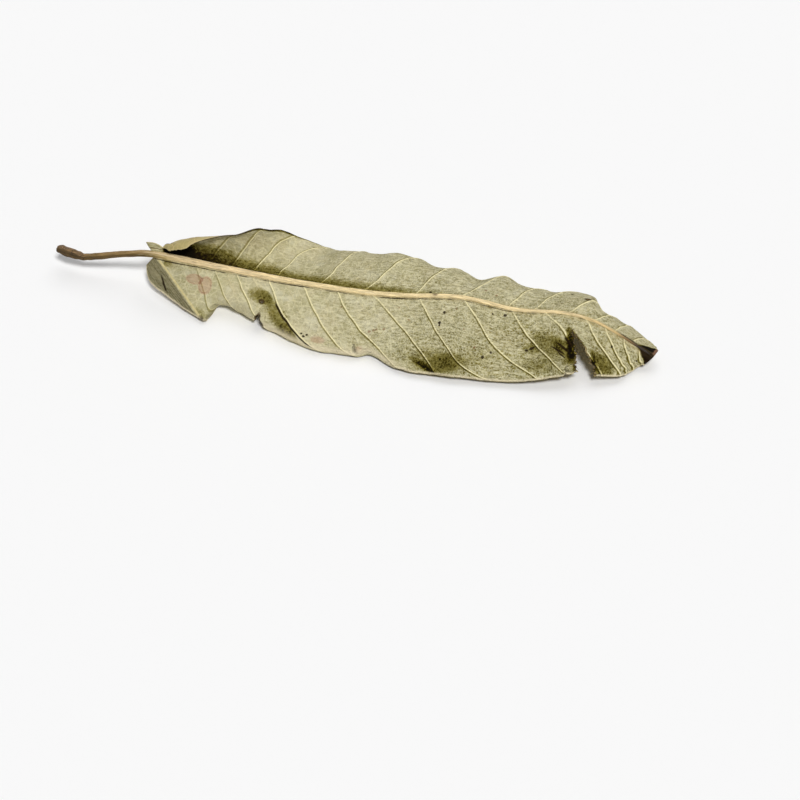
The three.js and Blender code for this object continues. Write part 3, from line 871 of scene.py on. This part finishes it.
class Graph:
    """Short names for the nodes of a material or of the world."""

    def __init__(self, owner):
        self.owner = owner
        owner.use_nodes = True
        self.tree = owner.node_tree
        self.tree.nodes.clear()

    def put(self, kind, inputs, output=0, **settings):
        node = self.tree.nodes.new("ShaderNode" + kind)
        for key, value in settings.items():
            setattr(node, key, value)
        for key, value in inputs.items():
            if isinstance(value, Wire):
                self.tree.links.new(value.socket, node.inputs[key])
            else:
                node.inputs[key].default_value = value
        return Wire(self, node.outputs[output]) if node.outputs else None

    def attribute(self, name, output="Fac"):
        return self.put("Attribute", {}, output, attribute_name=name)

    def math(self, operation, a, b=0.0, **settings):
        """An operation on numbers, or on vectors where b is one."""
        vectors = isinstance(b, tuple) or isinstance(b, Wire) and b.socket.type == "VECTOR"
        kind = "VectorMath" if vectors else "Math"
        return self.put(kind, {0: a, 1: b}, operation=operation, **settings)

    def part(self, vector, k):
        return self.put("SeparateXYZ", {0: vector}, k)

    def join(self, x, y):
        return self.put("CombineXYZ", {0: x, 1: y})

    def distance(self, vector, place):
        return self.put("VectorMath", {0: vector, 1: place}, "Value", operation="DISTANCE")

    def step(self, x, low, high):
        """0 below low, 1 above high and smooth between them; low may be the larger."""
        return self.put("MapRange", {"Value": x, "From Min": low, "From Max": high},
                        interpolation_type="SMOOTHSTEP")

    def noise(self, vector, size, detail=3.0, roughness=0.55, output="Fac"):
        return self.put("TexNoise", {"Vector": vector, "Scale": 1 / size, "Detail": detail,
                                     "Roughness": roughness}, output)

    def cloud(self, vector, low, high, size, detail=3.0, roughness=0.55):
        """Soft patches, where the noise rises from low to high."""
        return self.step(self.noise(vector, size, detail, roughness), low, high)

    def cells(self, vector, size):
        return self.put("TexVoronoi", {"Vector": vector, "Scale": 1 / size}, "Distance",
                        feature="DISTANCE_TO_EDGE")

    def patches(self, vector, size):
        """A different grey for every cell."""
        return self.put("TexVoronoi", {"Vector": vector, "Scale": 1 / size}, "Color")

    def mix(self, share, a, b, **settings):
        return self.put("Mix", {0: share, 6: a, 7: b}, 2, data_type="RGBA", **settings)

    def start(self, share, a, b):
        """Set the material's base colour, between two colours."""
        self.base = self.mix(share, colour(*a), colour(*b))

    def paint(self, share, red, green, blue):
        """Lay a colour over the base colour."""
        self.base = self.mix(share, self.base, colour(red, green, blue))

    def darken(self, share, steps=1):
        """Make the base colour darker and deeper, its blue sinking twice as fast as its red."""
        for _ in range(steps):
            self.base = self.mix(share, self.base, DEEPER, blend_type="MULTIPLY")

    def brighten(self, factor):
        """Make the base colour lighter or darker by a number about 1."""
        self.base = self.put("VectorMath", {0: self.base, "Scale": factor}, operation="SCALE")

    def finish(self, roughness, height, depth, specular=0.35):
        """height runs over about 0 to 1, and depth is its size in millimetres."""
        bump = self.put("Bump", {"Height": height, "Distance": depth * 0.001, "Strength": 1.0})
        shader = self.put("BsdfPrincipled", {
            "Base Color": self.base, "Roughness": roughness, "Normal": bump,
            "Specular IOR Level": specular})
        self.put("OutputMaterial", {"Surface": shader})
        return self.owner


def new_material(name, *measures):
    """A graph for a material, and the measures of the leaf that its patterns follow."""
    g = Graph(bpy.data.materials.new(name))
    return g, g.attribute("flat", "Vector"), *(g.attribute(measure) for measure in measures)


def warped(g, flat, size, amount):
    """Leaf coordinates pushed about, so that cells don't run straight."""
    drift = g.noise(flat, size, 2, 0.5, "Color") + (-0.5, -0.5, -0.5)
    return flat + drift * (amount, amount, 0)


def dots(g, flat, specks):
    """1 on the specks."""
    total = None
    for along, across, radius in specks:
        dot = g.step(g.distance(flat, (along, across, 0)), radius * 1.3, radius * 0.8)
        total = dot if total is None else g.math("MAXIMUM", total, dot)
    return total


def pale_side():
    """The leaf's underside, which lies up: matt grey-olive with raised yellowish veins."""
    g, flat, share, rib, vein, minor, lee, torn, fold, olive, dark = new_material(
        "underside", "share", "rib", "vein", "minor", "lee", "torn", "fold", "olive", "dark")
    along = g.part(flat, 0)
    rough = g.math("MINIMUM", 0.5 * olive + g.step(along, 35, 110), 1.0)
    rough = 0.7 * rough + 0.3
    broad = g.cloud(flat, 0.36, 0.66, 16, 3)
    g.start(broad, (200, 191, 156), (189, 182, 143))
    warm = g.cloud(flat + (31, 7, 0), 0.45, 0.75, 7, 4)
    g.paint(0.5 * warm, 205, 190, 150)
    bloom = g.cloud(flat + (17, 41, 0), 0.48, 0.66, 6.5, 3, 0.5)
    g.paint(0.6 * bloom, 212, 207, 180)
    mottle = g.cloud(flat + (5, 57, 0), 0.46, 0.62, 5.5, 2, 0.5)
    g.darken(0.5 * mottle * rough)
    mottle = g.cloud(flat + (45, 27, 0), 0.4, 0.62, 2.2, 2, 0.4)
    g.darken(0.45 * mottle * rough)
    g.darken(0.62 * olive)
    # The flap behind the base crease: painted shade in dark grey-olive, with fine lines along the
    # fold.
    flap = g.step(fold, 0.2, 1.2)
    lines = g.cloud(g.join(fold, 0.1 * rib), 0.35, 0.65, 0.45, 3, 0.6)
    shaded_flap = g.mix(lines, colour(98, 92, 62), colour(148, 140, 106))
    g.base = g.mix(0.92 * flap, g.base, shaded_flap)
    grain = g.noise(flat * (0.75, 1, 1), 0.8, 4, 0.7)
    amount = rough * (1 - 0.7 * flap)
    g.darken(0.18 * g.step(grain, 0.53, 0.38) * amount)
    g.paint(0.6 * g.step(grain, 0.48, 0.62) * amount, 222, 217, 186)
    net = warped(g, flat, 1.6, 1.3)
    coarse = g.step(g.cells(net * (1, 0.7, 1), 2.3), 0.09, 0.02)
    small = warped(g, flat, 0.9, 0.6)
    fine = g.step(g.cells(small, 1.0), 0.16, 0.03)
    tile = g.patches(small, 1.0)
    g.darken(0.14 * g.step(tile, 0.3, 0.8) * amount)
    g.paint(0.5 * fine * amount, 226, 219, 180)
    g.paint(0.42 * coarse * g.step(flap, 0.8, 0.2), 228, 219, 176)
    creep = g.noise(warped(g, flat * (0.36, 1.3, 1), 1.6, 1.2), 0.95, 3, 0.6)
    wrinkle = g.step(creep, 0.52, 0.62)
    ripple = amount * g.step(along, 24, 46)
    g.darken(0.22 * wrinkle * ripple)
    g.paint(0.4 * g.step(creep, 0.47, 0.38) * ripple, 222, 216, 182)
    line = g.step(vein, 0.3 - 0.13 * share, 0.11 - 0.04 * share)
    line = line * g.step(flap, 0.9, 0.1) * (0.6 * g.step(along, 14, 34) + 0.4)
    shade = g.step(lee, 0.75, 0.4) * g.step(share, 0.05, 0.35)
    shade = shade * g.step(flap, 0.5, 0.0)
    g.darken(shade * (0.6 * rough + 0.3), 2)
    thin = g.step(minor, 0.2, 0.06)
    g.paint(0.3 * thin, 214, 200, 152)
    g.paint(line, 240, 230, 182)
    speckle = g.noise(flat + (3, 3, 0), 0.9, 4, 0.75)
    speckle = 0.9 * speckle + 0.1 * tile
    # The dark share: painted shade in hollows, under the rolled base and its curled margin and at
    # the tips, with darker patches; near-black where it is deepest.
    cover = 1.25 * dark + 1.4 * (speckle - 0.5)
    cover = cover - 0.3 * line
    g.darken(0.8 * g.step(cover, 0.15, 0.85), 2)
    ragged = 6.0 * g.math("MINIMUM", dark, 0.75)
    spread = dark + (speckle - 0.5) * ragged
    spread = spread - 0.25 * line
    g.darken(g.step(spread, 0.7, 1.25), 2)
    g.paint(0.97 * g.step(spread, 1.2, 1.7), 12, 8, 4)
    pink = g.attribute("pink") + 0.5 * (g.noise(flat, 0.7, 4) - 0.5)
    g.paint(0.5 * g.step(pink, 0.15, 0.4), 182, 140, 112)
    g.paint(0.6 * g.step(pink, 0.55, 0.85), 134, 88, 66)
    g.paint(0.3 * g.step(rib, 2.0, 0.9), 196, 174, 120)
    crease = g.math("ABSOLUTE", fold - 0.1)
    g.paint(0.95 * g.step(crease, 0.5, 0.2), 212, 198, 144)
    # Pale margin rim: painted light where the margin rolls under.
    g.paint(0.85 * g.attribute("rim"), 232, 219, 184)
    # The brown share: stains, and painted shadow lines beside the midrib, the big tear, the crumple
    # and the tips.
    spread = g.attribute("brown") + 0.5 * g.noise(flat, 0.6, 4, 0.6)
    brown = g.step(spread, 0.45, 0.9)
    g.paint(0.92 * brown, 34, 21, 9)
    g.paint(0.75 * g.step(torn, 0.35, 0.05), 98, 76, 42)
    g.paint(0.6 * dots(g, small, BROWN_SPECKS), 122, 74, 36)
    g.paint(0.93 * dots(g, small, SPECKS), 40, 27, 13)
    height = 0.6 * grain + 0.5 * coarse + 0.5 * fine
    height = (height - 0.8 * wrinkle) * (rough + 0.5)
    return g.finish(0.8, height, 0.15, 0.04)


def deep_side():
    """The leaf's upper side, which lies down: smoother, yellower and with a pale net of veins."""
    g, flat, share, vein, minor, edge, torn = new_material(
        "upperside", "share", "vein", "minor", "edge", "torn")
    broad = g.cloud(flat, 0.35, 0.68, 13, 3)
    g.start(broad, (180, 164, 110), (154, 141, 84))
    warm = g.cloud(flat + (11, 3, 0), 0.5, 0.75, 5, 4)
    g.paint(0.6 * warm, 166, 138, 76)
    grain = g.noise(flat, 0.5, 4, 0.7)
    g.brighten(0.3 * grain + 0.85)
    coarse = g.step(g.cells(warped(g, flat, 1.6, 1.1) * (1, 0.7, 1), 1.9), 0.12, 0.03)
    fine = g.step(g.cells(warped(g, flat, 0.7, 0.4), 0.62), 0.12, 0.02)
    g.paint(0.5 * coarse, 192, 174, 116)
    g.paint(0.25 * fine, 186, 168, 112)
    g.paint(0.5 * g.step(minor, 0.2, 0.06), 196, 176, 114)
    line = g.step(vein, 0.3 - 0.12 * share, 0.1 - 0.04 * share)
    g.paint(0.8 * line, 200, 180, 118)
    g.paint(0.6 * g.step(edge, 0.6, 0.2), 190, 174, 120)
    streak = g.cloud(flat * (0.16, 1, 1), 0.5, 0.68, 0.9, 4, 0.65)
    g.paint(0.5 * streak, 126, 98, 50)
    # The brown share here also carries stains and painted shadow lines.
    brown = g.step(g.attribute("brown") + 0.5 * g.noise(flat, 0.6, 4, 0.6), 0.45, 0.95)
    g.paint(0.8 * brown, 84, 58, 32)
    g.paint(0.7 * g.step(torn, 0.35, 0.05), 104, 82, 46)
    height = 0.25 * grain + 0.5 * coarse + 0.4 * fine
    roughness = 0.15 * grain + 0.42
    return g.finish(roughness, height, 0.06, 0.45)


def cut_edge():
    g, flat, torn, dark = new_material("blade_edge", "torn", "dark")
    g.start(g.step(torn, 0.3, 0.1), (196, 182, 134), (112, 90, 52))
    # Cut edges take the painted shade of the dark share.
    g.paint(g.step(dark, 0.3, 1.0), 58, 46, 22)
    grain = g.noise(flat, 0.5, 3)
    g.brighten(0.3 * grain + 0.85)
    return g.finish(0.75, grain, 0.05)


def stalk_bark():
    """Stalk and midrib: brown bark at the end, turning to tan and to straw along the blade."""
    g, flat, along, ridge = new_material("stalk", "along", "ridge")
    across = g.part(flat, 1)
    g.start(g.step(along, -7, 8), (142, 115, 70), (236, 210, 160))
    g.paint(g.step(along, 15, 60), 242, 219, 166)
    g.paint(g.step(along, -23, -29), 124, 98, 66)
    streak = g.cloud(flat * (0.1, 1, 1), 0.3, 0.7, 0.42, 4, 0.65)
    g.brighten(0.5 * streak + 0.74)
    bare = g.step(along, 4, -6)
    furrow = g.cloud((flat + (3, 8, 5)) * (0.12, 1, 1), 0.54, 0.66, 0.5, 3)
    g.darken(0.9 * furrow * bare)
    # Painted shade along the stalk's near, lower flank.
    under = g.step(across, -0.75, -1.05) * g.step(along, 12, -4)
    g.darken(0.8 * under, 2)
    pale = g.cloud((flat + (9, 4, 2)) * (0.06, 1, 1), 0.52, 0.66, 0.4, 3)
    g.paint(0.55 * pale * g.step(along, -16, 4), 246, 226, 184)
    g.brighten(0.05 * ridge + 1.0)
    crack = g.step(g.cells(flat * (0.22, 1, 1), 0.75), 0.07, 0.01)
    g.paint(crack * g.step(along, -18, -25), 52, 36, 22)
    faint = g.cloud(flat * (0.05, 1, 1), 0.63, 0.70, 0.3, 2)
    g.paint(0.5 * faint, 112, 76, 38)
    fleck = g.cloud(flat * (0.6, 1, 1), 0.70, 0.76, 1.1, 4, 0.6)
    g.paint(0.7 * fleck, 62, 44, 26)
    g.paint(0.7 * g.step(along, 138, 154), 204, 174, 112)
    # The midrib darkens to near-black toward the tip: painted shade where the far half folds over
    # it.
    g.paint(0.8 * g.step(along, 156, 161), 104, 72, 36)
    g.paint(0.95 * g.step(along, 161, 166), 26, 17, 9)
    bruise = g.step(g.distance(flat, (96, 0.6, 0.5)), 1.5, 0.7)
    g.paint(0.85 * bruise, 70, 42, 22)
    height = streak - 0.6 * crack
    return g.finish(0.6, height, 0.10)


def fibre_skin():
    g, flat = new_material("fibre")
    g.start(g.noise(flat, 2, 2), (104, 88, 48), (34, 25, 12))
    return g.finish(0.8, g.noise(flat, 0.2, 2), 0.03)


def pale_floor():
    g = Graph(bpy.data.materials.new("floor"))
    g.base = colour(250, 250, 250)
    return g.finish(0.9, 0, 0, 0.1)


# ---- pieces ----


def add_object(name, data):
    item = bpy.data.objects.new(name, data)
    bpy.context.scene.collection.objects.link(item)
    return item


def make_piece(name, places, faces, materials, measures, kind=None):
    """A mesh object in millimetres of the leaf, which is moved into the frame later."""
    mesh = bpy.data.meshes.new(name)
    mesh.from_pydata(places.tolist(), [], faces.tolist())
    for material in materials:
        mesh.materials.append(material)
    kind = np.zeros(len(faces)) if kind is None else kind
    mesh.polygons.foreach_set("material_index", kind.astype(np.int32))
    mesh.polygons.foreach_set("use_smooth", kind < 2)
    for key, values in measures.items():
        form, field = ("FLOAT_VECTOR", "vector") if values.ndim == 2 else ("FLOAT", "value")
        layer = mesh.attributes.new(key, form, "POINT")
        layer.data.foreach_set(field, values.astype(np.float32).ravel())
    mesh.validate()
    return add_object(name, mesh)


def make_half(name, side, materials):
    rows = np.concatenate([np.linspace(0, 0.12, 12, endpoint=False), np.linspace(0.12, 1, 54)])
    corners, places, triangles = blade_half(side, grid_columns(side), rows)
    measures = blade_measures(side, corners)
    r, v = corners.T
    lift = quilting(side, r, v, vein_line(side, r, v))
    places = places + corner_normals(places, triangles) * lift[:, None]
    ridge = vein_relief(measures)
    places, faces, kind = thicken(places, triangles, ridge, 0.3 * ridge)
    both = {key: np.concatenate([value, value]) for key, value in measures.items()}
    return make_piece(name, rest(places), faces, materials, both, kind)


blade_materials = [pale_side(), deep_side(), cut_edge()]
near = make_half("blade_near", -1, blade_materials)
far = make_half("blade_far", 1, blade_materials)
places, faces, measures = rib_rod()
rib = make_piece("stalk_and_midrib", rest(places), faces, [stalk_bark()], measures)
places, faces = torn_fibres()
fibres = make_piece("torn_fibres", rest(places), faces, [fibre_skin()], {"flat": places})
pieces = [near, far, rib, fibres]

# The leaf goes over the middle of the solid's box and down to its underside.
corners = np.concatenate([np.array([v.co for v in piece.data.vertices]) for piece in pieces])
low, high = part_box("leaf")
middle = (corners.min(0) + corners.max(0)) / 2
offset = Vector(((low.x + high.x) / 2 - middle[0] / 1000, (low.y + high.y) / 2 - middle[1] / 1000,
                 low.z - corners[:, 2].min() / 1000))
for piece in pieces:
    piece.data.transform(Matrix.Translation(offset) @ Matrix.Scale(0.001, 4))
    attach(piece, "root")
    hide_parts("leaf")

# ---- stage, light and camera ----

bpy.ops.mesh.primitive_plane_add(size=6, location=(0, 0, low.z))
floor = bpy.context.object
floor.name = "floor"
floor.data.materials.append(pale_floor())


def toward(azimuth, elevation):
    """A direction from the leaf. Azimuth 0 is behind it, and 90 to its right."""
    a, e = math.radians(azimuth), math.radians(elevation)
    return Vector((math.sin(a) * math.cos(e), math.cos(a) * math.cos(e), math.sin(e)))


def lamp(name, azimuth, elevation, strength, spread):
    """A soft sun."""
    light = bpy.data.lights.new(name, "SUN")
    light.energy = strength
    light.angle = math.radians(spread)
    body = add_object(name, light)
    body.rotation_euler = toward(azimuth, elevation).to_track_quat("Z", "Y").to_euler()


lamp("key", 152, 54, 2.3, 12)
lamp("fill", 5, 62, 0.95, 60)

world = bpy.data.worlds.new("studio")
bpy.context.scene.world = world
g = Graph(world)
ambient = g.put("Background", {"Strength": 0.16})
backdrop = g.put("Background", {"Color": (1, 1, 1, 1), "Strength": 1.0})
seen = g.put("LightPath", {}, "Is Camera Ray")
for ray in ("Is Glossy Ray", "Is Transmission Ray"):
    seen = g.math("ADD", seen, g.put("LightPath", {}, ray), use_clamp=True)
g.put("OutputWorld", {"Surface": g.put("MixShader", {0: seen, 1: ambient, 2: backdrop})})

CAMERA_AIM = (0.02829, -0.04368, 0.008)  # from the middle of the leaf's box on the floor
CAMERA_AZIMUTH, CAMERA_ELEVATION, CAMERA_ROLL = 165.06, 43.28, -0.67
CAMERA_DISTANCE = 0.8556
CAMERA_LENS = 121.5

camera = add_object("camera", bpy.data.cameras.new("camera"))
bpy.context.scene.camera = camera
camera.data.lens = CAMERA_LENS
camera.data.sensor_width = 36
camera.data.clip_start, camera.data.clip_end = 0.05, 20
back = toward(CAMERA_AZIMUTH, CAMERA_ELEVATION)
roll = Matrix.Rotation(math.radians(CAMERA_ROLL), 4, "Z").to_quaternion()
camera.rotation_mode = "QUATERNION"
camera.rotation_quaternion = back.to_track_quat("Z", "Y") @ roll
centre = Vector(((low.x + high.x) / 2, (low.y + high.y) / 2, low.z))
camera.location = centre + Vector(CAMERA_AIM) + back * CAMERA_DISTANCE

bpy.context.scene.view_settings.view_transform = "Standard"
